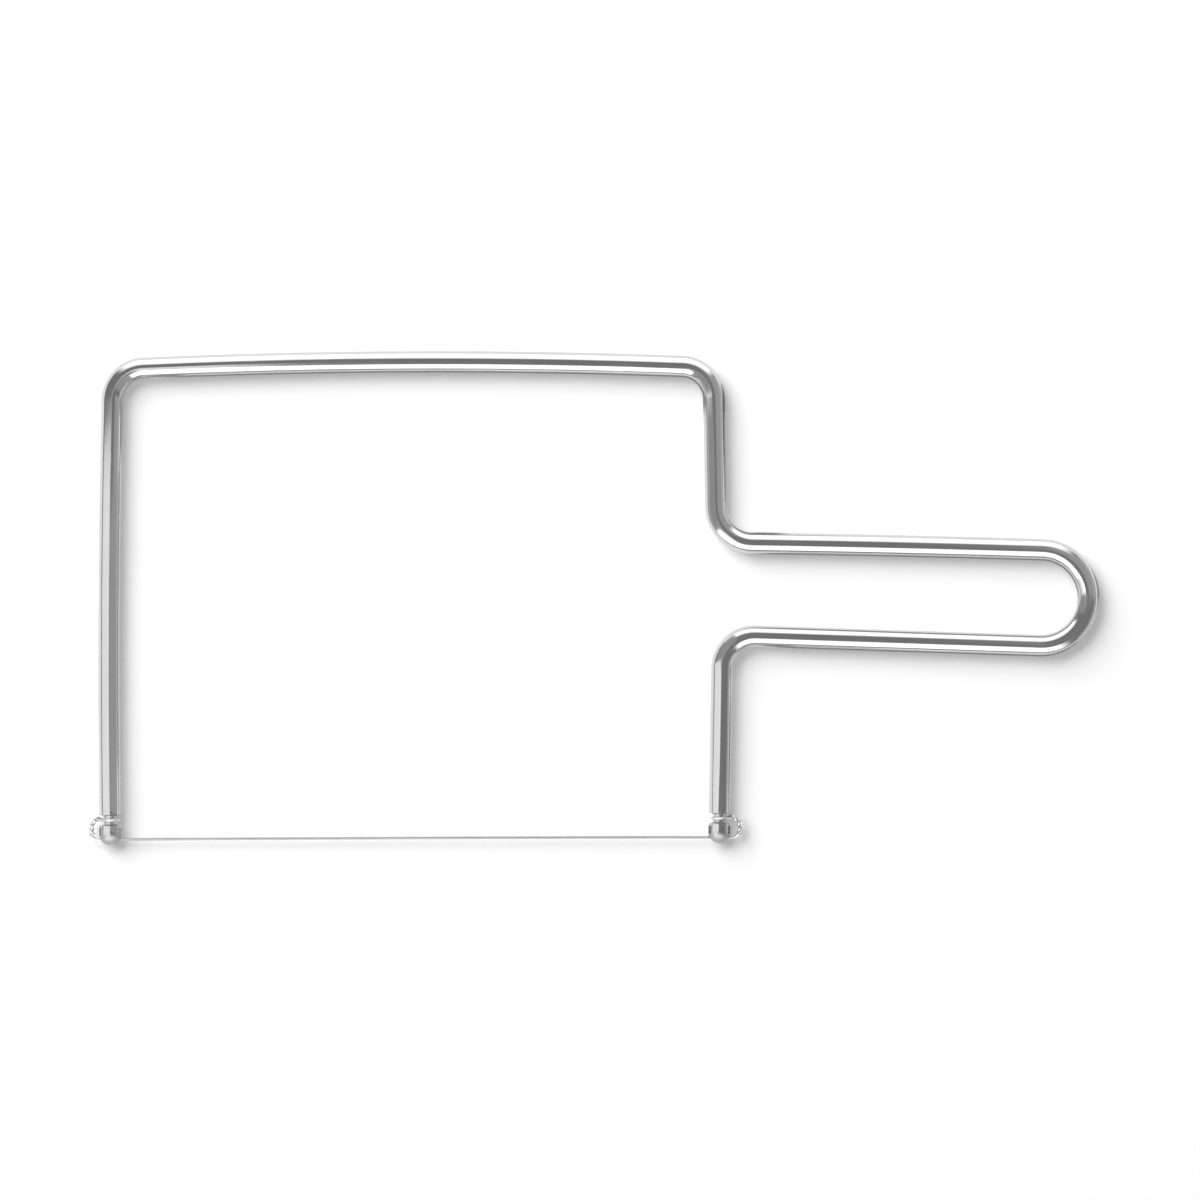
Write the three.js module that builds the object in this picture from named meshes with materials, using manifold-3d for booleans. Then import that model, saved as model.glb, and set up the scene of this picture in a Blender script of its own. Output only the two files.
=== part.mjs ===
// Cheese wire: a hand-held bow bent from one steel rod, with one cutting wire across its mouth.
// Millimetres. It lies flat: X runs along the handle, Y from the wire up to the top bar, Z is up.
// The origin is under the middle of the whole object, on the surface that it lies on.

import * as THREE from 'three';
import { mergeVertices } from 'three/addons/utils/BufferGeometryUtils.js';
import Module from 'manifold-3d';

// Rod that the bow and its handle are bent from
const ROD_DIAMETER = 5;
const ROD_SIDES = 24;
const STEPS_PER_RIGHT_ANGLE = 8;
const STEPS_PER_BOW = 6;
const SHORTEST_STEP = 0.3;

// Bow: two legs and a top bar, measured between rod axes
const WIRE_SPAN = 139.4;
const SHOULDER_SPAN = 137.5;
const BOW_DEPTH = 109;
const TOP_BAR_BOW = 1.4;
const LEG_BOW = 0.5;
const SHOULDER_BEND_RADIUS = 7.5;

// Handle loop, which leaves the right leg partway down and droops a little
const LOWER_LEG_LENGTH = 47.7;
const HANDLE_ROOT_SPACING = 21.2;
const UPPER_ROOT_INSET = 0.35;
const LOWER_ROOT_OUTSET = 0.95;
const UPPER_ROOT_BEND_RADIUS = 8.5;
const LOWER_ROOT_BEND_RADIUS = 7.5;
const HANDLE_REACH = 84.5;
const HANDLE_SPACING = 22;
const HANDLE_DROOP_DEGREES = 1.8;
const HANDLE_BAR_BOW = 0.15;
const HANDLE_END_BEND_RADIUS = 10.9;

// Turned rod tips, measured up from the end of the rod
const GROOVE_HEIGHT = 5.8;
const GROOVE_WIDTH = 2.4;
const GROOVE_DEPTH = 1;
const GROOVE_WALL_SLOPE = 0.25;
const DOME_HEIGHT = 2.8;
const DOME_STEPS = 6;
const DOME_FLARE_SHARE = 0.03;
const CUT_OVERRUN = 1;

// Cutting wire, with a twisted eyelet at each end
const WIRE_DIAMETER = 0.6;
const WIRE_SIDES = 8;
const WIRE_HEIGHT = 1.35;
const WIRE_CLEARANCE = 0.25;
const EYELET_REACH = 0.4;
const LEFT_NECK_BULGE = 1.4;
const RIGHT_NECK_BULGE = 1.9;
const NECK_RISE = 0.2;
const TWIST_CLEARANCE = 0.1;
const TWIST_PITCH = 2.8;
const TWIST_END_SHARE = 0.74;
const TAIL_END_SHARE = 0.7;
const POINTS_PER_TURN = 8;
const STEPS_BETWEEN_POINTS = 2;

const STEEL = { color: 0xc9cacb, roughness: 0.18, metalness: 1 };
const WIRE_STEEL = { color: 0xbfc0c1, roughness: 0.3, metalness: 1 };

const wasm = await Module();
wasm.setup();

const rodRadius = ROD_DIAMETER / 2;
const wireRadius = WIRE_DIAMETER / 2;
const grooveCoreRadius = rodRadius - GROOVE_DEPTH;
const throatReach = rodRadius + EYELET_REACH;

// Sweeps
// A path through given points, stepped point by point, so that straight runs cost one step.
class PointPath extends THREE.Curve {
  constructor(points) {
    super();
    this.points = points;
  }

  getPoint(t, target = new THREE.Vector3()) {
    const place = t * (this.points.length - 1);
    const index = Math.min(Math.floor(place), this.points.length - 2);
    return target.lerpVectors(this.points[index], this.points[index + 1], place - index);
  }

  getTangent(t, target = new THREE.Vector3()) {
    const last = this.points.length - 1;
    const index = Math.round(t * last);
    target.set(0, 0, 0);
    if (index > 0) {
      target.add(directionBetween(this.points[index - 1], this.points[index]));
    }
    if (index < last) {
      target.add(directionBetween(this.points[index], this.points[index + 1]));
    }
    return target.normalize();
  }

  getUtoTmapping(u) {
    return u;
  }
}

function directionBetween(start, end) {
  return end.clone().sub(start).normalize();
}

// A regular outline whose flats lie at the given radius, with flats facing both ways on both axes.
function flatSidedOutline(radius, sides) {
  const cornerRadius = radius / Math.cos(Math.PI / sides);
  const outline = new THREE.Shape();
  for (let side = 0; side < sides; side += 1) {
    const angle = (side + 0.5) / sides * 2 * Math.PI;
    const corner = new THREE.Vector2(Math.cos(angle), Math.sin(angle)).multiplyScalar(cornerRadius);
    if (side === 0) {
      outline.moveTo(corner.x, corner.y);
    } else {
      outline.lineTo(corner.x, corner.y);
    }
  }
  outline.closePath();
  return outline;
}

function sweepRound(points, radius, sides) {
  const settings = { steps: points.length - 1, extrudePath: new PointPath(points) };
  return new THREE.ExtrudeGeometry(flatSidedOutline(radius, sides), settings);
}

// A turned solid whose profile is given as [radius to the flats, height] pairs.
function turnProfile(profile) {
  const cornerScale = 1 / Math.cos(Math.PI / ROD_SIDES);
  const points = profile.map(([radius, height]) => new THREE.Vector2(radius * cornerScale, height));
  return new THREE.LatheGeometry(points, ROD_SIDES, Math.PI / ROD_SIDES);
}

// Cuts
function solidFrom(geometry, placement = new THREE.Matrix4()) {
  const placed = geometry.clone().applyMatrix4(placement);
  placed.deleteAttribute('normal');
  placed.deleteAttribute('uv');
  const merged = mergeVertices(placed);
  const mesh = new wasm.Mesh({
    numProp: 3,
    vertProperties: merged.getAttribute('position').array,
    triVerts: Uint32Array.from(merged.getIndex().array),
  });
  return new wasm.Manifold(mesh);
}

function geometryFrom(solid) {
  const mesh = solid.getMesh();
  const geometry = new THREE.BufferGeometry();
  geometry.setAttribute('position', new THREE.BufferAttribute(mesh.vertProperties, mesh.numProp));
  geometry.setIndex(new THREE.BufferAttribute(mesh.triVerts, 1));
  geometry.computeVertexNormals();
  return geometry;
}

// Rod route
// The corners of the bent rod from tip to tip, as the bender's drawing gives them. A corner with no
// radius is a bow: the widest bend that fits between the bends beside it.
function rodCorners() {
  const halfMouth = WIRE_SPAN / 2;
  const halfShoulder = SHOULDER_SPAN / 2;
  const leftTip = new THREE.Vector2(-halfMouth, 0);
  const rightTip = new THREE.Vector2(halfMouth, 0);
  const leftShoulder = new THREE.Vector2(-halfShoulder, BOW_DEPTH);
  const rightShoulder = new THREE.Vector2(halfShoulder, BOW_DEPTH);
  const upperRootHeight = LOWER_LEG_LENGTH + HANDLE_ROOT_SPACING;
  const upperRoot = new THREE.Vector2(halfMouth - UPPER_ROOT_INSET, upperRootHeight);
  const lowerRoot = new THREE.Vector2(halfMouth + LOWER_ROOT_OUTSET, LOWER_LEG_LENGTH);

  const droop = THREE.MathUtils.degToRad(HANDLE_DROOP_DEGREES);
  const outward = new THREE.Vector2(Math.cos(droop), -Math.sin(droop));
  const upward = new THREE.Vector2(Math.sin(droop), Math.cos(droop));
  const rootMiddle = upperRoot.clone().lerp(lowerRoot, 0.5);
  const endMiddle = rootMiddle.clone().addScaledVector(outward, HANDLE_REACH);
  const upperEnd = endMiddle.clone().addScaledVector(upward, HANDLE_SPACING / 2);
  const lowerEnd = endMiddle.clone().addScaledVector(upward, -HANDLE_SPACING / 2);

  return [
    { at: leftTip },
    { at: bowCorner(leftTip, leftShoulder, LEG_BOW) },
    { at: leftShoulder, radius: SHOULDER_BEND_RADIUS },
    { at: bowCorner(leftShoulder, rightShoulder, TOP_BAR_BOW) },
    { at: rightShoulder, radius: SHOULDER_BEND_RADIUS },
    { at: upperRoot, radius: UPPER_ROOT_BEND_RADIUS },
    { at: bowCorner(upperRoot, upperEnd, HANDLE_BAR_BOW) },
    { at: upperEnd, radius: HANDLE_END_BEND_RADIUS },
    { at: lowerEnd, radius: HANDLE_END_BEND_RADIUS },
    { at: lowerRoot, radius: LOWER_ROOT_BEND_RADIUS },
    { at: rightTip },
  ];
}

// An arc rises half as high as the corner that it rounds off.
function bowCorner(start, end, rise) {
  const along = end.clone().sub(start).normalize();
  const leftward = new THREE.Vector2(-along.y, along.x);
  return start.clone().lerp(end, 0.5).addScaledVector(leftward, 2 * rise);
}

// How far along each of its two runs a bend starts. The turned tips stay straight.
function bendReaches(corners) {
  const last = corners.length - 1;
  const runAfter = (index) => corners[index].at.distanceTo(corners[index + 1].at);
  const reaches = corners.map(({ radius }, index) => {
    if (index === 0 || index === last) {
      return GROOVE_HEIGHT + GROOVE_WIDTH;
    }
    if (radius === undefined) {
      return 0;
    }
    const longest = Math.min(runAfter(index - 1), runAfter(index)) / 2;
    return Math.min(radius * Math.tan(turnAt(corners, index) / 2), longest);
  });
  for (let index = 1; index < last; index += 1) {
    if (corners[index].radius === undefined) {
      const before = runAfter(index - 1) - reaches[index - 1];
      const after = runAfter(index) - reaches[index + 1];
      reaches[index] = Math.min(before, after);
    }
  }
  return reaches;
}

function turnAt(corners, index) {
  const before = corners[index].at.clone().sub(corners[index - 1].at);
  const after = corners[index + 1].at.clone().sub(corners[index].at);
  return Math.abs(before.angleTo(after));
}

function rodRoute(corners) {
  const reaches = bendReaches(corners);
  const route = [corners[0].at.clone()];
  for (let index = 1; index < corners.length - 1; index += 1) {
    const corner = corners[index].at;
    const before = corners[index - 1].at.clone().sub(corner).normalize();
    const after = corners[index + 1].at.clone().sub(corner).normalize();
    const turn = turnAt(corners, index);
    const radius = reaches[index] / Math.tan(turn / 2);
    const towardCentre = before.clone().add(after).normalize();
    const centre = corner.clone().addScaledVector(towardCentre, radius / Math.cos(turn / 2));
    const start = corner.clone().addScaledVector(before, reaches[index]).sub(centre);
    const side = Math.sign(after.cross(before));
    const isBow = corners[index].radius === undefined;
    const steps = isBow ? STEPS_PER_BOW : Math.round(STEPS_PER_RIGHT_ANGLE * turn / (Math.PI / 2));
    for (let step = 0; step <= steps; step += 1) {
      const spoke = start.clone().rotateAround(new THREE.Vector2(), side * turn * step / steps);
      route.push(spoke.add(centre));
    }
  }
  route.push(corners.at(-1).at.clone());
  const apart = (point, index) => index === 0 || point.distanceTo(route[index - 1]) > SHORTEST_STEP;
  return route.filter(apart).map((point) => new THREE.Vector3(point.x, point.y, rodRadius));
}

// Turned tips
// Places a tip's own frame: Y runs up the rod from its end, and X across it in the plane of the bow.
function tipPlacement(end, inner) {
  const up = directionBetween(end, inner);
  const level = new THREE.Vector3(0, 0, 1);
  const across = up.clone().cross(level);
  return new THREE.Matrix4().makeBasis(across, up, level).setPosition(end);
}

function grooveCutter() {
  const halfWidth = GROOVE_WIDTH / 2;
  const halfFloor = halfWidth - GROOVE_WALL_SLOPE;
  const wallLean = GROOVE_WALL_SLOPE * (GROOVE_DEPTH + CUT_OVERRUN) / GROOVE_DEPTH;
  const outerRadius = rodRadius + CUT_OVERRUN;
  return turnProfile([
    [grooveCoreRadius, GROOVE_HEIGHT - halfFloor],
    [outerRadius, GROOVE_HEIGHT - halfFloor - wallLean],
    [outerRadius, GROOVE_HEIGHT + halfFloor + wallLean],
    [grooveCoreRadius, GROOVE_HEIGHT + halfFloor],
    [grooveCoreRadius, GROOVE_HEIGHT - halfFloor],
  ]);
}

// Everything round and beyond the rod's rounded end.
function domeCutter() {
  const domeRadius = rodRadius * (1 + DOME_FLARE_SHARE);
  const profile = [[0, 0]];
  for (let step = 1; step <= DOME_STEPS; step += 1) {
    const angle = step / DOME_STEPS * Math.PI / 2;
    profile.push([domeRadius * Math.sin(angle), DOME_HEIGHT * (1 - Math.cos(angle))]);
  }
  profile.push([domeRadius + CUT_OVERRUN, DOME_HEIGHT]);
  profile.push([domeRadius + CUT_OVERRUN, -CUT_OVERRUN]);
  profile.push([0, -CUT_OVERRUN]);
  return turnProfile(profile.reverse());
}

function slotCutter() {
  const depth = WIRE_HEIGHT + wireRadius + WIRE_CLEARANCE;
  const width = WIRE_DIAMETER + 2 * WIRE_CLEARANCE;
  const cutter = new THREE.BoxGeometry(ROD_DIAMETER + 2 * CUT_OVERRUN, depth + CUT_OVERRUN, width);
  return cutter.translate(0, (depth - CUT_OVERRUN) / 2, 0);
}

function bowFrame(route) {
  let rod = solidFrom(sweepRound(route, rodRadius, ROD_SIDES));
  const placements = [
    tipPlacement(route[0], route[1]),
    tipPlacement(route.at(-1), route.at(-2)),
  ];
  for (const placement of placements) {
    for (const cutter of [grooveCutter(), domeCutter(), slotCutter()]) {
      rod = rod.subtract(solidFrom(cutter, placement));
    }
  }
  return geometryFrom(rod);
}

// Cutting wire
// The neck leaves the groove on the tip's outer side, bulges like half an ellipse, and comes in again
// level with the slot.
function neckCurve(bulge) {
  const halfHeight = (GROOVE_HEIGHT + NECK_RISE - WIRE_HEIGHT) / 2;
  const centreHeight = WIRE_HEIGHT + halfHeight;
  const quarter = Math.PI / 2;
  return new THREE.EllipseCurve(throatReach, centreHeight, bulge, halfHeight, quarter, -quarter, true);
}

// Points of one twisted strand from the eyelet down, wound about the neck from the given side.
function strandPoints(neck, startAngle, endShare) {
  const helixRadius = (WIRE_DIAMETER + TWIST_CLEARANCE) / 2;
  const turns = neck.getLength() * endShare / TWIST_PITCH;
  const count = Math.round(turns * POINTS_PER_TURN);
  const points = [];
  for (let index = 0; index <= count; index += 1) {
    const place = index / count * endShare;
    const angle = startAngle + index / count * turns * 2 * Math.PI;
    const along = neck.getTangentAt(place);
    const sideways = new THREE.Vector2(along.y, -along.x);
    const point = neck.getPointAt(place).addScaledVector(sideways, helixRadius * Math.sin(angle));
    points.push(new THREE.Vector3(point.x, point.y, helixRadius * Math.cos(angle)));
  }
  return points;
}

// Points round the groove's core, from one side of the eyelet's throat to the other.
function eyeletPoints() {
  const eyeletRadius = grooveCoreRadius + WIRE_CLEARANCE + wireRadius;
  const leaving = Math.acos(eyeletRadius / throatReach);
  const swept = 2 * (Math.PI - leaving);
  const count = Math.ceil(swept / (2 * Math.PI) * POINTS_PER_TURN);
  const points = [];
  for (let index = 0; index <= count; index += 1) {
    const angle = -leaving - swept * index / count;
    const outward = eyeletRadius * Math.cos(angle);
    points.push(new THREE.Vector3(outward, GROOVE_HEIGHT, eyeletRadius * Math.sin(angle)));
  }
  return points;
}

// One end of the wire in its tip's own frame, from the cut tail to the inner mouth of the slot.
function wireEndPoints(bulge) {
  const neck = neckCurve(bulge);
  const tail = strandPoints(neck, -Math.PI / 2, TAIL_END_SHARE).reverse();
  const standing = strandPoints(neck, Math.PI / 2, TWIST_END_SHARE);
  const settling = neck.getPointAt((1 + TWIST_END_SHARE) / 2);
  return [
    ...tail,
    ...eyeletPoints(),
    ...standing,
    new THREE.Vector3(settling.x, settling.y, 0),
    new THREE.Vector3(throatReach, WIRE_HEIGHT, 0),
    new THREE.Vector3(-throatReach, WIRE_HEIGHT, 0),
  ];
}

function cuttingWire(route) {
  const leftFrame = tipPlacement(route[0], route[1]);
  const rightFrame = tipPlacement(route.at(-1), route.at(-2));
  const mirror = new THREE.Matrix4().makeScale(-1, 1, 1);
  const outLeft = leftFrame.multiply(mirror);
  const left = wireEndPoints(LEFT_NECK_BULGE).map((point) => point.applyMatrix4(outLeft));
  const right = wireEndPoints(RIGHT_NECK_BULGE).map((point) => point.applyMatrix4(rightFrame));
  const smooth = new THREE.CatmullRomCurve3([...left, ...right.reverse()]);
  const points = smooth.getPoints((smooth.points.length - 1) * STEPS_BETWEEN_POINTS);
  return sweepRound(points, wireRadius, WIRE_SIDES);
}

function namedMesh(name, geometry, look) {
  const mesh = new THREE.Mesh(geometry, new THREE.MeshStandardMaterial(look));
  mesh.name = name;
  return mesh;
}

const route = rodRoute(rodCorners());
const cheeseWire = new THREE.Group();
cheeseWire.add(namedMesh('bow_frame', bowFrame(route), STEEL));
cheeseWire.add(namedMesh('cutting_wire', cuttingWire(route), WIRE_STEEL));

// Centres the drawn shape over the origin, resting on its lowest point.
const extent = new THREE.Box3().setFromObject(cheeseWire);
const middle = extent.getCenter(new THREE.Vector3());
cheeseWire.position.set(-middle.x, -middle.y, -extent.min.z);

export default cheeseWire;
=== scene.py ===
"""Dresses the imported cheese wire: a bow bent from one polished steel rod, strung with one cutting wire."""

import math

import bmesh
import bpy
from mathutils import Matrix, Vector


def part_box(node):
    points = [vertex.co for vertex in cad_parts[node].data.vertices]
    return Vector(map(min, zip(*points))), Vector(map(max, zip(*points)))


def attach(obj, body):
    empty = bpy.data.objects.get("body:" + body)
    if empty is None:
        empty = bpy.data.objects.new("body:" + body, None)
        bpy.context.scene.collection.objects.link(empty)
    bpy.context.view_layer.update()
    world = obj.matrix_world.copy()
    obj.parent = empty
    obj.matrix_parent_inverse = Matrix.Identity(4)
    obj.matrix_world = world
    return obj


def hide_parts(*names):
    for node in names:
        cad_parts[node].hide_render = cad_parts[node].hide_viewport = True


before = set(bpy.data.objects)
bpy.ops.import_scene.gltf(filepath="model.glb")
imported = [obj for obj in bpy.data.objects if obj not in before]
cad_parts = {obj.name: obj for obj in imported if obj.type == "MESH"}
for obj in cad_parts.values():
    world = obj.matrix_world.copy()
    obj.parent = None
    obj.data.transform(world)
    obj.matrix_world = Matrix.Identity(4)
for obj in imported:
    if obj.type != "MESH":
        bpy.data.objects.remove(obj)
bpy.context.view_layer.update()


# Camera
# The tool lies flat and is seen straight from above through a long lens, turned a fraction of a degree,
# as the photograph shows it.
VIEW_CENTRE = (0.0015, -0.00072)
VIEW_WIDTH = 0.2753
CAMERA_HEIGHT = 1.5
CAMERA_ROLL_DEGREES = -0.2

camera = bpy.data.objects.new("camera", bpy.data.cameras.new("camera"))
bpy.context.collection.objects.link(camera)
camera.location = (*VIEW_CENTRE, CAMERA_HEIGHT)
camera.rotation_euler = (0, 0, math.radians(CAMERA_ROLL_DEGREES))
camera.data.lens = camera.data.sensor_width * CAMERA_HEIGHT / VIEW_WIDTH
bpy.context.scene.camera = camera


# Bow frame
# One round bar of polished stainless steel. Its ends are turned on a lathe, with a groove and a rounded
# tip, and sawn across. Then it is bent cold, corner by corner, into the bow and the handle loop.
ROD_RADIUS = 0.0025
ROD_SEGMENTS = 64

WIRE_SPAN = 0.1394
SHOULDER_SPAN = 0.1375
BOW_DEPTH = 0.109
TOP_BAR_BOW = 0.0014
LEG_BOW = 0.0005
SHOULDER_BEND_RADIUS = 0.0075

LOWER_LEG_LENGTH = 0.0477
HANDLE_ROOT_SPACING = 0.0212
UPPER_ROOT_INSET = 0.00035
LOWER_ROOT_OUTSET = 0.00095
UPPER_ROOT_BEND_RADIUS = 0.0085
LOWER_ROOT_BEND_RADIUS = 0.0075
HANDLE_REACH = 0.0845
HANDLE_SPACING = 0.022
HANDLE_DROOP_DEGREES = 1.8
HANDLE_BAR_BOW = 0.00015
HANDLE_END_BEND_RADIUS = 0.0109

GROOVE_HEIGHT = 0.0058
GROOVE_WIDTH = 0.0024
GROOVE_DEPTH = 0.001
GROOVE_WALL_SLOPE = 0.00025
DOME_HEIGHT = 0.0028
DOME_STEPS = 16
DOME_FLARE_SHARE = 0.03
SLOT_DEPTH = 0.0019
SLOT_WIDTH = 0.0011
SAW_TOLERANCE = 0.00000006
SAME_PLACE = 0.000006
EDGE_BREAK = 0.00012
EDGE_BREAK_SEGMENTS = 3
SHARP_EDGE_DEGREES = 25
MOST_CORNERS_OF_SMOOTH_FACE = 8

SHORTEST_STEP = 0.00003
BEND_STEP = 0.00035
BOW_STEPS = 36
STRAIGHT_TIP = GROOVE_HEIGHT + GROOVE_WIDTH

# Where the finish changes: the distances from the tip, or from the rod's middle, between which it fades.
GROOVE_STARTS = (0.0042, 0.0048)
GROOVE_ENDS = (0.0068, 0.0074)
DOME_ENDS = (0.0018, 0.0030)
# The collar's bounds, and where its sides begin, place the painted shade on the collar's flanks.
COLLAR_STARTS = (0.0020, 0.0026)
COLLAR_ENDS = (0.0038, 0.0044)
COLLAR_SIDE_STARTS = (0.0016, 0.0021)

# How fine the marks are, in grains a metre across, along and through the rod, how high they stand, how
# much rougher they make the polish, and which levels of their noise show.
ROD_LINES = (5200, 45, 5200)
ROD_SCRATCHES = (1400, 260, 1400)
ROD_SMUDGES = (190, 70, 190)
ROD_PEEL = (3800, 3800, 3800)
TOOL_RINGS = 1100.0
TOOL_RING_WAVER = 1.2
MARK_HEIGHT = 0.0000022
LINE_RELIEF = 0.8
SCRATCH_RELIEF = 0.5
PEEL_RELIEF = 0.9
TOOL_RING_RELIEF = 2.2
SCRATCH_LEVELS = (0.70, 0.76)
PEEL_STRETCH = (0.1, 0.9)
# The painted shade on the collar's flanks shows at these levels of the smudge noise.
SHADE_PATCH_LEVELS = (0.25, 0.5)
POLISH_ROUGHNESS = 0.085
SMUDGE_ROUGHNESS = 0.07
SCRATCH_ROUGHNESS = 0.08
PEEL_ROUGHNESS = 0.08
GROOVE_ROUGHNESS = 0.12
TIP_ROUGHNESS = 0.34
SHADE_PATCH_ROUGHNESS = 0.3

# The steel's darker and lighter tone and the colour of its painted shade, and how much the marks and places
# change them.
STEEL_TONES = ((0.60, 0.60, 0.61, 1), (0.70, 0.70, 0.705, 1))
PAINTED_SHADE_COLOUR = (0.12, 0.12, 0.115, 1)
SMUDGE_TONE_SHARE = 0.7
GROOVE_PAINTED_SHADE = 0.8
TIP_SHADE_SHARE = 0.4


def bow_corner(start, end, rise):
    """An arc rises half as high as the corner that it rounds off."""
    along = (end - start).normalized()
    return (start + end) / 2 + 2 * rise * Vector((-along.y, along.x))


def rod_corners():
    """The corners of the bent rod from tip to tip, each with its bend radius, or None for a slow bow."""
    left_tip = Vector((-WIRE_SPAN / 2, 0))
    right_tip = Vector((WIRE_SPAN / 2, 0))
    left_shoulder = Vector((-SHOULDER_SPAN / 2, BOW_DEPTH))
    right_shoulder = Vector((SHOULDER_SPAN / 2, BOW_DEPTH))
    upper_root = Vector((WIRE_SPAN / 2 - UPPER_ROOT_INSET, LOWER_LEG_LENGTH + HANDLE_ROOT_SPACING))
    lower_root = Vector((WIRE_SPAN / 2 + LOWER_ROOT_OUTSET, LOWER_LEG_LENGTH))
    droop = math.radians(HANDLE_DROOP_DEGREES)
    outward = Vector((math.cos(droop), -math.sin(droop)))
    upward = Vector((math.sin(droop), math.cos(droop)))
    end_middle = (upper_root + lower_root) / 2 + HANDLE_REACH * outward
    upper_end = end_middle + HANDLE_SPACING / 2 * upward
    lower_end = end_middle - HANDLE_SPACING / 2 * upward
    return [
        (left_tip, None),
        (bow_corner(left_tip, left_shoulder, LEG_BOW), None),
        (left_shoulder, SHOULDER_BEND_RADIUS),
        (bow_corner(left_shoulder, right_shoulder, TOP_BAR_BOW), None),
        (right_shoulder, SHOULDER_BEND_RADIUS),
        (upper_root, UPPER_ROOT_BEND_RADIUS),
        (bow_corner(upper_root, upper_end, HANDLE_BAR_BOW), None),
        (upper_end, HANDLE_END_BEND_RADIUS),
        (lower_end, HANDLE_END_BEND_RADIUS),
        (lower_root, LOWER_ROOT_BEND_RADIUS),
        (right_tip, None),
    ]


def bend_plan(corners):
    """Each bend's start along the straight bar, radius, turn to the right and ring count, and the bar's
    length."""
    places = [place for place, _ in corners]
    runs = [(after - before).length for before, after in zip(places, places[1:])]
    turns = [0.0] + [
        (corner - before).angle_signed(after - corner)
        for before, corner, after in zip(places, places[1:], places[2:])
    ]
    reaches = [STRAIGHT_TIP] + [0.0] * len(turns[1:]) + [STRAIGHT_TIP]
    for index, (_, radius) in enumerate(corners[1:-1], 1):
        if radius is not None:
            longest = min(runs[index - 1], runs[index]) / 2
            reaches[index] = min(radius * math.tan(abs(turns[index]) / 2), longest)
    for index, (_, radius) in enumerate(corners[1:-1], 1):
        if radius is None:
            before = runs[index - 1] - reaches[index - 1]
            after = runs[index] - reaches[index + 1]
            reaches[index] = min(before, after)
    reaches[0] = reaches[-1] = 0.0
    bends = []
    length = 0.0
    for index, (_, radius) in enumerate(corners[1:-1], 1):
        bend_radius = reaches[index] / math.tan(abs(turns[index]) / 2)
        arc = bend_radius * abs(turns[index])
        bends.append({
            "start": length + runs[index - 1] - reaches[index - 1] - reaches[index],
            "arc": arc,
            "radius": bend_radius,
            "turn": turns[index],
            "steps": BOW_STEPS if radius is None else math.ceil(arc / BEND_STEP),
            "is_tight": radius is not None,
        })
        length = bends[-1]["start"] + arc
    return bends, length + runs[-1] - reaches[-2]


def tip_profile():
    """The turned end as (radius, height above the end) pairs, from the dome up past the groove."""
    dome_radius = ROD_RADIUS * (1 + DOME_FLARE_SHARE)
    dome_end = math.asin(ROD_RADIUS / dome_radius)
    dome_angles = [dome_end * step / DOME_STEPS for step in range(1, DOME_STEPS + 1)]
    dome = [(dome_radius * math.sin(angle), DOME_HEIGHT * (1 - math.cos(angle))) for angle in dome_angles]
    lip = GROOVE_WIDTH / 2
    floor = lip - GROOVE_WALL_SLOPE
    return dome + [
        (ROD_RADIUS, GROOVE_HEIGHT - lip),
        (ROD_RADIUS - GROOVE_DEPTH, GROOVE_HEIGHT - floor),
        (ROD_RADIUS - GROOVE_DEPTH, GROOVE_HEIGHT + floor),
        (ROD_RADIUS, GROOVE_HEIGHT + lip),
    ]


def bar_profile(bends, length):
    """The whole straight bar as (radius, distance) pairs, with a ring at each step of each bend."""
    rings = [
        (ROD_RADIUS, bend["start"] + bend["arc"] * step / bend["steps"])
        for bend in bends
        for step in range(bend["steps"] + 1)
    ]
    far_tip = [(radius, length - height) for radius, height in reversed(tip_profile())]
    return tip_profile() + rings + far_tip


def extruded_ring(mesh, ring):
    """Extrudes an open ring of edges in place and gives the new ring."""
    made = bmesh.ops.extrude_edge_only(mesh, edges=ring)["geom"]
    fresh = {part for part in made if isinstance(part, bmesh.types.BMVert)}
    return [part for part in made if isinstance(part, bmesh.types.BMEdge) and fresh.issuperset(part.verts)]


def ring_verts(ring):
    """The corners of a ring of edges, each once, and in the same order on every run."""
    return list(dict.fromkeys(vert for edge in ring for vert in edge.verts))


def turned_bar(profile):
    """Turns the straight bar along +Y: a capped ring at its end, extruded from step to step."""
    bar = bmesh.new()
    radius, distance = profile[0]
    upright = Matrix.Translation((0, distance, 0)) @ Matrix.Rotation(math.pi / 2, 4, "X")
    bmesh.ops.create_circle(bar, cap_ends=True, segments=ROD_SEGMENTS, radius=radius, matrix=upright)
    ring = list(bar.edges)
    for next_radius, next_distance in profile[1:]:
        if next_distance - distance < SHORTEST_STEP:
            continue
        ring = extruded_ring(bar, ring)
        widening = next_radius / radius
        bmesh.ops.scale(bar, vec=(widening, 1, widening), verts=ring_verts(ring))
        bmesh.ops.translate(bar, vec=(0, next_distance - distance, 0), verts=ring_verts(ring))
        radius, distance = next_radius, next_distance
    bmesh.ops.contextual_create(bar, geom=ring)
    return bar


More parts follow.
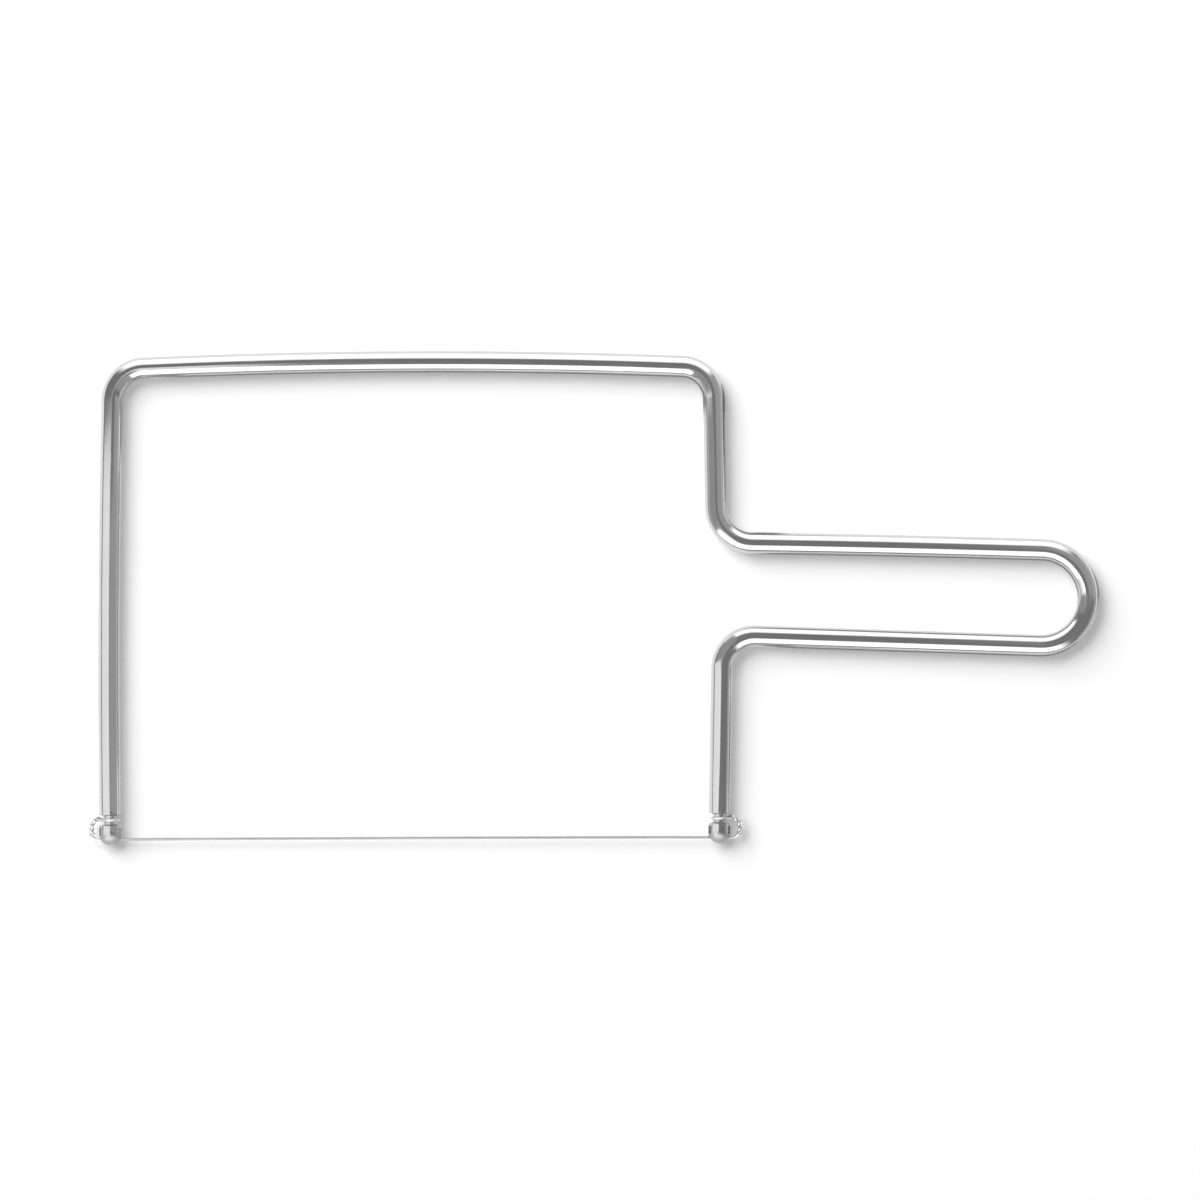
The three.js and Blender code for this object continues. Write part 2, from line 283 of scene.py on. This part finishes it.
def saw_slot(bar, end, inward):
    """Saws the slot across a tip, in the plane of the bow, and closes its two walls and its floor."""
    floor = end + inward * SLOT_DEPTH
    half = SLOT_WIDTH / 2

    def is_past_floor(place):
        return (floor - place.y) * inward > SAME_PLACE

    cuts = [((0, floor, 0), (0, 1, 0)), ((0, 0, half), (0, 0, 1)), ((0, 0, -half), (0, 0, 1))]
    for place, normal in cuts:
        faces = [face for face in bar.faces if any(is_past_floor(vert.co) for vert in face.verts)]
        parts = list(dict.fromkeys(part for face in faces for part in (*face.verts, *face.edges, face)))
        bmesh.ops.bisect_plane(bar, geom=parts, dist=SAW_TOLERANCE, plane_co=place, plane_no=normal)
    middles = {face: face.calc_center_median() for face in bar.faces}
    sawn = [face for face, middle in middles.items() if is_past_floor(middle) and abs(middle.z) < half]
    bmesh.ops.delete(bar, geom=sawn, context="FACES")

    rim = [edge for edge in bar.edges if edge.is_boundary]
    floor_rim = [edge for edge in rim if all(abs(vert.co.y - floor) < SAME_PLACE for vert in edge.verts)]
    for side in (-1, 1):
        wall = [
            edge for edge in rim if all(abs(vert.co.z * side - half) < SAME_PLACE for vert in edge.verts)
        ]
        foot = [vert for vert in ring_verts(wall) if abs(vert.co.y - floor) < SAME_PLACE]
        brow = bmesh.ops.contextual_create(bar, geom=foot)["edges"]
        bmesh.ops.contextual_create(bar, geom=wall + brow)
        floor_rim += brow
    bmesh.ops.contextual_create(bar, geom=floor_rim)


def break_edges(bar):
    """Rounds off the sharp edges that the lathe and the saw leave."""
    least_angle = math.radians(SHARP_EDGE_DEGREES)
    sharp = [edge for edge in bar.edges if edge.calc_face_angle(0) > least_angle]
    bmesh.ops.bevel(
        bar, geom=sharp, offset=EDGE_BREAK, affect="EDGES", segments=EDGE_BREAK_SEGMENTS, profile=0.5,
        material=-1, clamp_overlap=True,
    )


def mark_straight_places(bar, bends):
    """Keeps each point's place on the straight bar, which the drawn and polished finish follows, and
    how far a bend stretches the steel there, from -1 inside the bend to 1 outside it."""
    straight = bar.verts.layers.float_vector.new("straight_bar")
    stretch = bar.verts.layers.float.new("stretch")
    for vert in bar.verts:
        vert[straight] = vert.co
        for bend in bends:
            if bend["is_tight"] and 0 <= vert.co.y - bend["start"] <= bend["arc"]:
                vert[stretch] = -vert.co.x / ROD_RADIUS * math.copysign(1, bend["turn"])
    return straight


def bend_bar(bar, bends, straight):
    """Bends the bar from its far end back, so that each bend is made on a still straight stretch."""
    for bend in reversed(bends):
        centre = (math.copysign(bend["radius"], bend["turn"]), bend["start"], 0)
        slices = {}
        for vert in bar.verts:
            beyond = vert[straight].y - bend["start"]
            if beyond > 0:
                slices.setdefault(round(min(beyond, bend["arc"]), 8), []).append(vert)
        for moved, verts in slices.items():
            turn = Matrix.Rotation(-bend["turn"] * moved / bend["arc"], 3, "Z")
            bmesh.ops.translate(bar, vec=(0, -moved, 0), verts=verts)
            bmesh.ops.rotate(bar, cent=centre, matrix=turn, verts=verts)


def piece_from(mesh, name, material):
    """Makes a finished mesh an object, smooth but for its flat sawn faces."""
    bmesh.ops.recalc_face_normals(mesh, faces=mesh.faces)
    for face in mesh.faces:
        face.smooth = len(face.verts) <= MOST_CORNERS_OF_SMOOTH_FACE
    return object_from(mesh, name, material)


def object_from(mesh, name, material):
    """Makes a mesh an object of that material."""
    data = bpy.data.meshes.new(name)
    mesh.to_mesh(data)
    mesh.free()
    data.materials.append(material)
    piece = bpy.data.objects.new(name, data)
    bpy.context.collection.objects.link(piece)
    return piece


class Socket:
    """A shader node's output, or an empty start for a material's first nodes. Sums add Math nodes."""

    def __init__(self, tree, output=None):
        self.tree = tree
        self.output = output

    def node(self, kind, sockets, result=0, **settings):
        """Adds a node: first its settings, then the values or links of its sockets."""
        made = self.tree.nodes.new(kind)
        for name, setting in settings.items():
            setattr(made, name, setting)
        for name, value in sockets.items():
            if isinstance(value, Socket):
                self.tree.links.new(value.output, made.inputs[name])
            else:
                made.inputs[name].default_value = value
        return None if result is None else Socket(self.tree, made.outputs[result])

    def sum(self, operation, *terms):
        return self.node("ShaderNodeMath", dict(enumerate(terms)), operation=operation)

    def __add__(self, other):
        return self.sum("ADD", self, other)

    def __sub__(self, other):
        return self.sum("SUBTRACT", self, other)

    def __rsub__(self, other):
        return self.sum("SUBTRACT", other, self)

    def __mul__(self, other):
        return self.sum("MULTIPLY", self, other)

    __radd__ = __add__
    __rmul__ = __mul__


def noise(place, scales, detail=2.0):
    """Noise with its own fineness, in grains a metre, across, along and through the piece."""
    scaled = place.node("ShaderNodeVectorMath", {0: place, 1: scales}, operation="MULTIPLY")
    return place.node("ShaderNodeTexNoise", {"Vector": scaled, "Scale": 1.0, "Detail": detail})


def between(value, low, high):
    """0 below low, 1 above high, and a smooth step between them."""
    bounds = {"Value": value, "From Min": low, "From Max": high}
    return value.node("ShaderNodeMapRange", bounds, interpolation_type="SMOOTHSTEP")


def mixed(share, first, second):
    """A colour between two others. The mix node's colour sockets come after its other kinds."""
    return share.node("ShaderNodeMix", {0: share, 6: first, 7: second}, result=2, data_type="RGBA")


def new_material(name):
    """A material with an empty node tree, and the start for its nodes."""
    material = bpy.data.materials.new(name)
    material.use_nodes = True
    material.node_tree.nodes.clear()
    return material, Socket(material.node_tree)


def polished_rod(bar_length):
    """Drawn, then polished: long fine lines, faint scratches, duller where bent, tool marks at the tips, and
    painted shade in the groove, on the collar's flanks and on the tip.
    """
    material, start = new_material("polished_rod")
    place = start.node("ShaderNodeAttribute", {}, result="Vector", attribute_name="straight_bar")
    stretch = start.node("ShaderNodeAttribute", {}, result="Fac", attribute_name="stretch")
    along = start.node("ShaderNodeSeparateXYZ", {0: place}, result="Y")
    from_tip = start.sum("MINIMUM", along, bar_length - along)
    in_groove = between(from_tip, *GROOVE_STARTS) - between(from_tip, *GROOVE_ENDS)
    at_tip = 1 - between(from_tip, *DOME_ENDS)

    lines = noise(place, ROD_LINES, detail=3.0)
    scratches = between(noise(place, ROD_SCRATCHES, detail=1.0), *SCRATCH_LEVELS)
    smudges = noise(place, ROD_SMUDGES, detail=3.0)
    peel = noise(place, ROD_PEEL) * between(stretch, *PEEL_STRETCH)
    wave = {"Vector": place, "Scale": TOOL_RINGS, "Distortion": TOOL_RING_WAVER, "Detail": 1.0}
    rings = start.node("ShaderNodeTexWave", wave, result="Fac", bands_direction="Y")
    relief = lines * LINE_RELIEF + scratches * SCRATCH_RELIEF + peel * PEEL_RELIEF
    relief = relief + rings * (in_groove + at_tip) * TOOL_RING_RELIEF
    normal = start.node("ShaderNodeBump", {"Strength": 1.0, "Distance": MARK_HEIGHT, "Height": relief})

    tone = smudges * SMUDGE_TONE_SHARE + lines * (1 - SMUDGE_TONE_SHARE)
    # Painted shade: the groove is painted a darker tone of the steel.
    steel = mixed(tone - in_groove * GROOVE_PAINTED_SHADE, *STEEL_TONES)
    across = start.sum("ABSOLUTE", start.node("ShaderNodeSeparateXYZ", {0: place}, result="X"))
    # Painted shade: the collar's flanks, as seen from above, are darkened in patches.
    on_collar = between(from_tip, *COLLAR_STARTS) - between(from_tip, *COLLAR_ENDS)
    collar_shade = on_collar * between(across, *COLLAR_SIDE_STARTS) * between(smudges, *SHADE_PATCH_LEVELS)
    # Painted shade: the domed tip is darkened too, which dims its highlight.
    colour = mixed(collar_shade + at_tip * TIP_SHADE_SHARE, steel, PAINTED_SHADE_COLOUR)

    roughness = POLISH_ROUGHNESS + smudges * SMUDGE_ROUGHNESS + scratches * SCRATCH_ROUGHNESS
    roughness = roughness + peel * PEEL_ROUGHNESS + in_groove * GROOVE_ROUGHNESS
    roughness = roughness + at_tip * TIP_ROUGHNESS + collar_shade * SHADE_PATCH_ROUGHNESS
    surface = start.node("ShaderNodeBsdfPrincipled", {
        "Base Color": colour, "Metallic": 1.0, "Roughness": roughness, "Normal": normal,
    })
    start.node("ShaderNodeOutputMaterial", {"Surface": surface}, result=None)
    return material


corners = rod_corners()
bends, bar_length = bend_plan(corners)
bar = turned_bar(bar_profile(bends, bar_length))
saw_slot(bar, 0, 1)
saw_slot(bar, bar_length, -1)
break_edges(bar)
straight_places = mark_straight_places(bar, bends)
bend_bar(bar, bends, straight_places)

first_heading = corners[1][0] - corners[0][0]
lean = Matrix.Rotation(-Vector((0, 1)).angle_signed(first_heading), 3, "Z")
bmesh.ops.rotate(bar, cent=(0, 0, 0), matrix=lean, verts=bar.verts)
bmesh.ops.translate(bar, vec=(*corners[0][0], ROD_RADIUS), verts=bar.verts)
drawn_low = Vector(min(vert.co[axis] for vert in bar.verts) for axis in range(3))
drawing_to_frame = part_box("bow_frame")[0] - drawn_low
bmesh.ops.translate(bar, vec=drawing_to_frame, verts=bar.verts)

bow_frame = piece_from(bar, "bent_rod", polished_rod(bar_length))
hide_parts("bow_frame")
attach(bow_frame, "root")


# Cutting wire
# One length of bright drawn stainless wire. Each end goes through the slot and up the outer side, round
# the groove as an eyelet, and is twisted with itself down the neck.
WIRE_RADIUS = 0.0003
WIRE_SEGMENTS = 16
WIRE_HEIGHT = 0.00135
WIRE_CLEARANCE = 0.00025
EYELET_REACH = 0.0004
LEFT_NECK_BULGE = 0.0014
RIGHT_NECK_BULGE = 0.0019
NECK_RISE = 0.0002
TWIST_CLEARANCE = 0.0001
TWIST_PITCH = 0.0028
TWIST_END_SHARE = 0.74
TAIL_END_SHARE = 0.7
POINTS_PER_TURN = 8
STEPS_BETWEEN_POINTS = 8
NECK_STEPS = 400

THROAT_REACH = ROD_RADIUS + EYELET_REACH
NECK_HALF_HEIGHT = (GROOVE_HEIGHT + NECK_RISE - WIRE_HEIGHT) / 2

# The wire is painted bright at each end, a painted highlight, up to a little before the slot's inner mouth,
# and is darker and rougher beyond.
DULLING_STARTS_BEFORE_MOUTH = 0.008
DULLING_ENDS_BEFORE_MOUTH = 0.003
WIRE_LINES = (16000, 16000, 60)
WIRE_GRIP = (900, 900, 500)
WIRE_MARK_HEIGHT = 0.000002
GRIP_RELIEF = 0.6
GRIP_TONE_SHARE = 0.6
DULL_TONES = ((0.38, 0.38, 0.385, 1), (0.52, 0.52, 0.525, 1))
PAINTED_HIGHLIGHT_TONES = ((0.78, 0.78, 0.785, 1), (0.88, 0.88, 0.885, 1))
WIRE_ROUGHNESS = 0.2
SPAN_ROUGHNESS = 0.1
GRIP_ROUGHNESS = 0.12


def path_length(points):
    return sum((after - before).length for before, after in zip(points, points[1:]))


def neck_place(bulge, share):
    """A point and heading that share of the way down the neck: half an ellipse from groove to slot."""
    centre = Vector((THROAT_REACH, WIRE_HEIGHT + NECK_HALF_HEIGHT))
    angles = [math.pi / 2 - math.pi * step / NECK_STEPS for step in range(NECK_STEPS + 1)]
    points = [
        centre + Vector((bulge * math.cos(angle), NECK_HALF_HEIGHT * math.sin(angle))) for angle in angles
    ]
    left = share * path_length(points)
    for point, after in zip(points, points[1:]):
        length = (after - point).length
        if left <= length:
            return point.lerp(after, left / length), (after - point).normalized()
        left -= length
    return points[-1], (points[-1] - points[-2]).normalized()


def neck_length(bulge):
    """The whole neck's length, added up over small steps of its angle."""
    step = math.pi / NECK_STEPS
    middles = [step * (index + 0.5) for index in range(NECK_STEPS)]
    return sum(
        step * math.hypot(bulge * math.cos(angle), NECK_HALF_HEIGHT * math.sin(angle)) for angle in middles
    )


def strand_points(bulge, start_angle, end_share):
    """Points of one twisted strand from the eyelet down, wound about the neck from the given side."""
    helix_radius = WIRE_RADIUS + TWIST_CLEARANCE / 2
    turns = neck_length(bulge) * end_share / TWIST_PITCH
    count = round(turns * POINTS_PER_TURN)
    points = []
    for index in range(count + 1):
        place, heading = neck_place(bulge, index / count * end_share)
        angle = start_angle + index / count * turns * math.tau
        place = place + helix_radius * math.sin(angle) * Vector((heading.y, -heading.x))
        points.append(Vector((place.x, place.y, helix_radius * math.cos(angle))))
    return points


def eyelet_points():
    """Points round the groove's core, from one side of the eyelet's throat to the other."""
    eyelet_radius = ROD_RADIUS - GROOVE_DEPTH + WIRE_CLEARANCE + WIRE_RADIUS
    leaving = math.acos(eyelet_radius / THROAT_REACH)
    swept = 2 * (math.pi - leaving)
    count = math.ceil(swept / math.tau * POINTS_PER_TURN)
    angles = [-leaving - swept * index / count for index in range(count + 1)]
    return [
        Vector((eyelet_radius * math.cos(angle), GROOVE_HEIGHT, eyelet_radius * math.sin(angle)))
        for angle in angles
    ]


def wire_end_points(bulge):
    """One end of the wire in its tip's own frame, from the cut tail to the inner mouth of the slot."""
    tail = strand_points(bulge, -math.pi / 2, TAIL_END_SHARE)[::-1]
    standing = strand_points(bulge, math.pi / 2, TWIST_END_SHARE)
    settling = neck_place(bulge, (1 + TWIST_END_SHARE) / 2)[0].to_3d()
    mouths = [Vector((THROAT_REACH, WIRE_HEIGHT, 0)), Vector((-THROAT_REACH, WIRE_HEIGHT, 0))]
    return tail + eyelet_points() + standing + [settling] + mouths


def tip_frame(end, inner, side):
    """A tip's own frame: across to its outer side, up the rod from its end, and level with the bow."""
    up = (inner - end).normalized()
    across = side * Vector((up.y, -up.x))
    middle = Vector((end.x, end.y, ROD_RADIUS))
    return Matrix((
        (across.x, up.x, 0, middle.x),
        (across.y, up.y, 0, middle.y),
        (0, 0, 1, middle.z),
        (0, 0, 0, 1),
    ))


def smooth_path(points, steps):
    """A centripetal Catmull-Rom curve through the points, so that no loop forms between near ones."""
    ends = [2 * points[0] - points[1], *points, 2 * points[-1] - points[-2]]
    path = []
    for before, start, end, after in zip(ends, ends[1:], ends[2:], ends[3:]):
        pace_before = (start - before).length ** 0.5
        pace = (end - start).length ** 0.5
        pace_after = (after - end).length ** 0.5
        leaving = (
            (start - before) / pace_before - (end - before) / (pace_before + pace) + (end - start) / pace
        )
        arriving = (
            (end - start) / pace - (after - start) / (pace + pace_after) + (after - end) / pace_after
        )
        for step in range(steps):
            share = step / steps
            path.append(
                (2 * share**3 - 3 * share**2 + 1) * start
                + (share**3 - 2 * share**2 + share) * pace * leaving
                + (3 * share**2 - 2 * share**3) * end
                + (share**3 - share**2) * pace * arriving
            )
    return path + [points[-1]]


def drawn_wire(path):
    """Carries a round section along the path, and keeps each point's place on the straight wire."""
    wire = bmesh.new()
    heading = (path[1] - path[0]).normalized()
    facing = Vector((0, 0, 1)).rotation_difference(heading).to_matrix().to_4x4()
    start = Matrix.Translation(path[0]) @ facing
    bmesh.ops.create_circle(wire, cap_ends=True, segments=WIRE_SEGMENTS, radius=WIRE_RADIUS, matrix=start)
    straight = wire.verts.layers.float_vector.new("straight_wire")
    for vert in wire.verts:
        vert[straight] = start.inverted() @ vert.co
    ring = list(wire.edges)
    along = 0.0
    for index in range(1, len(path)):
        step = path[index] - path[index - 1]
        along += step.length
        next_heading = (path[min(index + 1, len(path) - 1)] - path[index - 1]).normalized()
        ring = extruded_ring(wire, ring)
        verts = ring_verts(ring)
        bmesh.ops.translate(wire, vec=step, verts=verts)
        turn = heading.rotation_difference(next_heading).to_matrix()
        bmesh.ops.rotate(wire, cent=path[index], matrix=turn, verts=verts)
        for vert in verts:
            vert[straight] = Vector((vert[straight].x, vert[straight].y, along))
        heading = next_heading
    bmesh.ops.contextual_create(wire, geom=ring)
    return wire


def bright_wire(wire_length, end_length):
    """Drawn through a die: fine lines along it, painted bright at its twisted ends as their highlight, and
    darker and rougher along the span between.
    """
    material, start = new_material("drawn_wire")
    place = start.node("ShaderNodeAttribute", {}, result="Vector", attribute_name="straight_wire")
    lines = noise(place, WIRE_LINES, detail=3.0)
    grip = noise(place, WIRE_GRIP)
    along = start.node("ShaderNodeSeparateXYZ", {0: place}, result="Z")
    from_end = start.sum("MINIMUM", along, wire_length - along)
    dulling_starts = end_length - DULLING_STARTS_BEFORE_MOUTH
    span_share = between(from_end, dulling_starts, end_length - DULLING_ENDS_BEFORE_MOUTH)
    relief = lines + grip * GRIP_RELIEF
    normal = start.node("ShaderNodeBump", {"Strength": 1.0, "Distance": WIRE_MARK_HEIGHT, "Height": relief})
    dulled = mixed(grip * GRIP_TONE_SHARE + lines * (1 - GRIP_TONE_SHARE), *DULL_TONES)
    # Painted highlight: the twisted ends get a brighter steel tone.
    highlight_tone = mixed(lines, *PAINTED_HIGHLIGHT_TONES)
    surface = start.node("ShaderNodeBsdfPrincipled", {
        "Base Color": mixed(span_share, highlight_tone, dulled), "Metallic": 1.0,
        "Roughness": WIRE_ROUGHNESS + span_share * SPAN_ROUGHNESS + grip * GRIP_ROUGHNESS, "Normal": normal,
    })
    start.node("ShaderNodeOutputMaterial", {"Surface": surface}, result=None)
    return material


left_frame = tip_frame(corners[0][0], corners[1][0], -1)
right_frame = tip_frame(corners[-1][0], corners[-2][0], 1)
left_points = [left_frame @ point for point in wire_end_points(LEFT_NECK_BULGE)]
right_points = [right_frame @ point for point in wire_end_points(RIGHT_NECK_BULGE)]
wire_path = smooth_path(left_points + right_points[::-1], STEPS_BETWEEN_POINTS)
wire = drawn_wire(wire_path)
bmesh.ops.translate(wire, vec=drawing_to_frame, verts=wire.verts)

drawn_finish = bright_wire(path_length(wire_path), path_length(right_points))
cutting_wire = piece_from(wire, "strung_wire", drawn_finish)
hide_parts("cutting_wire")
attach(cutting_wire, "root")


# Floor
# A wide sheet of white paper that the tool lies on. The camera and the metal see it lit partly from
# within, so that it looks white and keeps a soft shadow.
FLOOR_RADIUS = 6.0
FLOOR_DROP = 0.00002
FLOOR_SEGMENTS = 96
FLOOR_GLOW_SHARE = 0.25
PAPER_COLOUR = (0.96, 0.96, 0.96, 1)
WHITE = (1, 1, 1, 1)

sheet = bmesh.new()
bmesh.ops.create_circle(
    sheet, cap_ends=True, segments=FLOOR_SEGMENTS, radius=FLOOR_RADIUS,
    matrix=Matrix.Translation((0, 0, -FLOOR_DROP)),
)
paper, start = new_material("white_paper")
watched = start.node("ShaderNodeLightPath", {}, result="Is Camera Ray")
for kind in ("Is Glossy Ray", "Is Transmission Ray"):
    watched = watched + start.node("ShaderNodeLightPath", {}, result=kind)
lit = start.node("ShaderNodeBsdfDiffuse", {"Color": PAPER_COLOUR}, result="BSDF")
glow = start.node("ShaderNodeEmission", {"Color": WHITE, "Strength": 1.0}, result="Emission")
seen = start.node("ShaderNodeMixShader", {0: watched * FLOOR_GLOW_SHARE, 1: lit, 2: glow})
start.node("ShaderNodeOutputMaterial", {"Surface": seen}, result=None)
floor = piece_from(sheet, "floor", paper)


# Lights
# A soft key from the upper left throws the shadow to the lower right. Only the polish sees the rest, and
# only from the front: cards that stand round the tool with soft borders and draw its long light bands, a
# dimmer card and a flag that hide others behind them, and grey films that darken the floor: painted
# shadow, which only the steel sees.
KEY_PLACE = (-1.6, 1.6, 1.92)
KEY_SIZE = 2.7
KEY_RADIANCE = 6.6
WATTS_PER_RADIANCE = math.pi
BRIGHT_GLOW = 1.6
SOFT_GLOW = 0.86
DIM_GLOW = 0.42
FLAG_GLOW = 0.38
FAINT_GLOW = 0.2
FILM_LIFT = 0.0001

lamp = bpy.data.lights.new("key", "AREA")
lamp.size = KEY_SIZE
lamp.energy = KEY_RADIANCE * WATTS_PER_RADIANCE * KEY_SIZE**2
key = bpy.data.objects.new("key", lamp)
bpy.context.collection.objects.link(key)
key.location = KEY_PLACE
key.rotation_euler = Vector(KEY_PLACE).to_track_quat("Z", "Y").to_euler()
key.visible_camera = key.visible_glossy = False


def card_material(shown, glow, cover):
    """Ends the material of a card, which adds its glow where it is shown, and covers what is behind it."""
    start = Socket(shown.tree)
    light = start.node("ShaderNodeEmission", {"Color": shown, "Strength": glow}, result="Emission")
    behind = start.node("ShaderNodeBsdfTransparent", {"Color": 1 - shown * cover}, result="BSDF")
    surface = start.node("ShaderNodeAddShader", {0: light, 1: behind}, result="Shader")
    start.node("ShaderNodeOutputMaterial", {"Surface": surface}, result=None)


def seen_in_polish_only(sheet):
    """Hides a card or film from the camera, diffuse and transmitted light and shadows, so that it shows in
    reflections alone.
    """
    sheet.visible_camera = sheet.visible_diffuse = sheet.visible_transmission = sheet.visible_shadow = False


def card(name, place, facing, size, border, glow=0, cover=0):
    """A card at that place that faces that way, which fades out over its border."""
    sheet = bmesh.new()
    bmesh.ops.create_grid(sheet, x_segments=1, y_segments=1, size=0.5)
    bmesh.ops.scale(sheet, vec=(*size, 1), verts=sheet.verts)
    on_card = sheet.verts.layers.float_vector.new("on_card")
    for vert in sheet.verts:
        vert[on_card] = vert.co
    turn = Vector(facing).to_track_quat("Z", "Y").to_matrix().to_4x4()
    bmesh.ops.transform(sheet, matrix=Matrix.Translation(place) @ turn, verts=sheet.verts)

    material, start = new_material(name)
    spot = start.node("ShaderNodeAttribute", {}, result="Vector", attribute_name="on_card")
    shown = 1 - start.node("ShaderNodeNewGeometry", {}, result="Backfacing")
    for axis, extent, fade in zip("XY", size, border):
        off_middle = start.sum("ABSOLUTE", start.node("ShaderNodeSeparateXYZ", {0: spot}, result=axis))
        shown = shown * between(extent / 2 - off_middle, 0, fade)
    card_material(shown, glow, cover)
    seen_in_polish_only(object_from(sheet, name, material))


def shadow_film(name, place, layer, size, border, cover):
    """A grey film on the floor, painted shadow that only the steel sees, which lies that many layers up."""
    card(name, (*place, layer * FILM_LIFT), facing=(0, 0, 1), size=size, border=border, cover=cover)


card(
    "card_top", place=(0, 0.30, 0.11), facing=(0, -1, 0),
    size=(0.76, 0.70), border=(0.16, 0.24), glow=BRIGHT_GLOW,
)
card(
    "card_bottom", place=(-0.06, -0.30, 0.37), facing=(0, 1, 0),
    size=(0.80, 0.60), border=(0.12, 0.02), glow=BRIGHT_GLOW,
)
card(
    "card_left", place=(-0.2575, -0.1985, 0.2425), facing=(1, 0, -1),
    size=(0.505, 0.479), border=(0.010, 0.02), glow=SOFT_GLOW,
)
card(
    "card_near", place=(0, -0.045, 0.174), facing=(1, 0, 0),
    size=(0.07, 0.172), border=(0.008, 0.01), glow=SOFT_GLOW,
)
card(
    "card_middle", place=(-0.05, -0.02, 0.26), facing=(-1, 0, 0),
    size=(0.10, 0.50), border=(0.01, 0.02), glow=DIM_GLOW, cover=1,
)
card(
    "card_right", place=(0.42, 0, 0.1), facing=(-1, 0, 0),
    size=(0.70, 0.19), border=(0.05, 0.02), glow=FAINT_GLOW,
)
card(
    "card_side", place=(0.28, 0.144, 0.25), facing=(-1, 0, -1),
    size=(0.312, 0.50), border=(0.02, 0.10), glow=FAINT_GLOW,
)
card(
    "flag", place=(0, 0.018, 0.25), facing=(1, -0.12, 0),
    size=(0.056, 0.50), border=(0.006, 0.02), glow=FLAG_GLOW, cover=1,
)
shadow_film("film_inside", (-0.064, -0.005), 3, size=(0.084, 0.080), border=(0.012, 0.012), cover=0.5)
shadow_film("film_low", (0.052, -0.038), 3, size=(0.036, 0.034), border=(0.010, 0.010), cover=0.6)
shadow_film("film_high", (0.048, 0.042), 3, size=(0.030, 0.032), border=(0.010, 0.010), cover=0.7)
shadow_film("film_short", (0.035, 0.035), 2, size=(0.009, 0.034), border=(0.003, 0.008), cover=0.5)
shadow_film("film_shoulder", (-0.1035, 0.040), 2, size=(0.009, 0.022), border=(0.003, 0.008), cover=0.5)


# Grey film
# The lowest film is a strip bent like the rod, which lies beside the rod's shaded side as painted shadow
# that only the steel sees. It gives the lower and right flanks their dark edge. It is made like the bar, as
# a line drawn out and bent corner by corner.
STRIP_SHIFT = (0.012, -0.007)
STRIP_HALF_WIDTH = 0.006
STRIP_BORDER = 0.0045
STRIP_COVER = 0.65
STRIP_SHORTEST_STEP = 0.00012

strip = bmesh.new()
strip_end = [strip.verts.new((side * STRIP_HALF_WIDTH, 0, 0)) for side in (-1, 1)]
strip_line = [strip.edges.new(strip_end)]
strip_length = 0.0
for _, distance in bar_profile(bends, bar_length):
    if distance - strip_length > STRIP_SHORTEST_STEP:
        strip_line = extruded_ring(strip, strip_line)
        drawn_out = (0, distance - strip_length, 0)
        bmesh.ops.translate(strip, vec=drawn_out, verts=ring_verts(strip_line))
        strip_length = distance
bend_bar(strip, bends, mark_straight_places(strip, bends))
bmesh.ops.rotate(strip, cent=(0, 0, 0), matrix=lean, verts=strip.verts)
beside_rod = drawing_to_frame + Vector((*corners[0][0], 0)) + Vector((*STRIP_SHIFT, FILM_LIFT))
bmesh.ops.translate(strip, vec=beside_rod, verts=strip.verts)

material, start = new_material("painted_shadow_strip")
spot = start.node("ShaderNodeAttribute", {}, result="Vector", attribute_name="straight_bar")
off_middle = start.sum("ABSOLUTE", start.node("ShaderNodeSeparateXYZ", {0: spot}, result="X"))
card_material(between(STRIP_HALF_WIDTH - off_middle, 0, STRIP_BORDER), glow=0, cover=STRIP_COVER)
seen_in_polish_only(object_from(strip, "painted_shadow_strip", material))


# Room
# Far white walls under a dark ceiling, which gives the steel its dark bands. The camera sees the walls
# reach higher than the steel does, so that a view from low down keeps a white background.
WALL_FADE = (0.01, 0.04)
WALL_RISE_FOR_CAMERA = 0.1
CEILING_COLOUR = (0.24, 0.24, 0.24, 1)

world = bpy.data.worlds.new("studio")
world.use_nodes = True
world.node_tree.nodes.clear()
bpy.context.scene.world = world
sky = Socket(world.node_tree)
upward = sky.node("ShaderNodeTexCoord", {}, result="Generated")
height = sky.node("ShaderNodeSeparateXYZ", {0: upward}, result="Z")
watched = sky.node("ShaderNodeLightPath", {}, result="Is Camera Ray")
rise = height - watched * WALL_RISE_FOR_CAMERA
room = mixed(between(rise, *WALL_FADE), WHITE, CEILING_COLOUR)
light = sky.node("ShaderNodeBackground", {"Color": room, "Strength": 1.0})
sky.node("ShaderNodeOutputWorld", {"Surface": light}, result=None)

bpy.context.scene.view_settings.view_transform = "Standard"
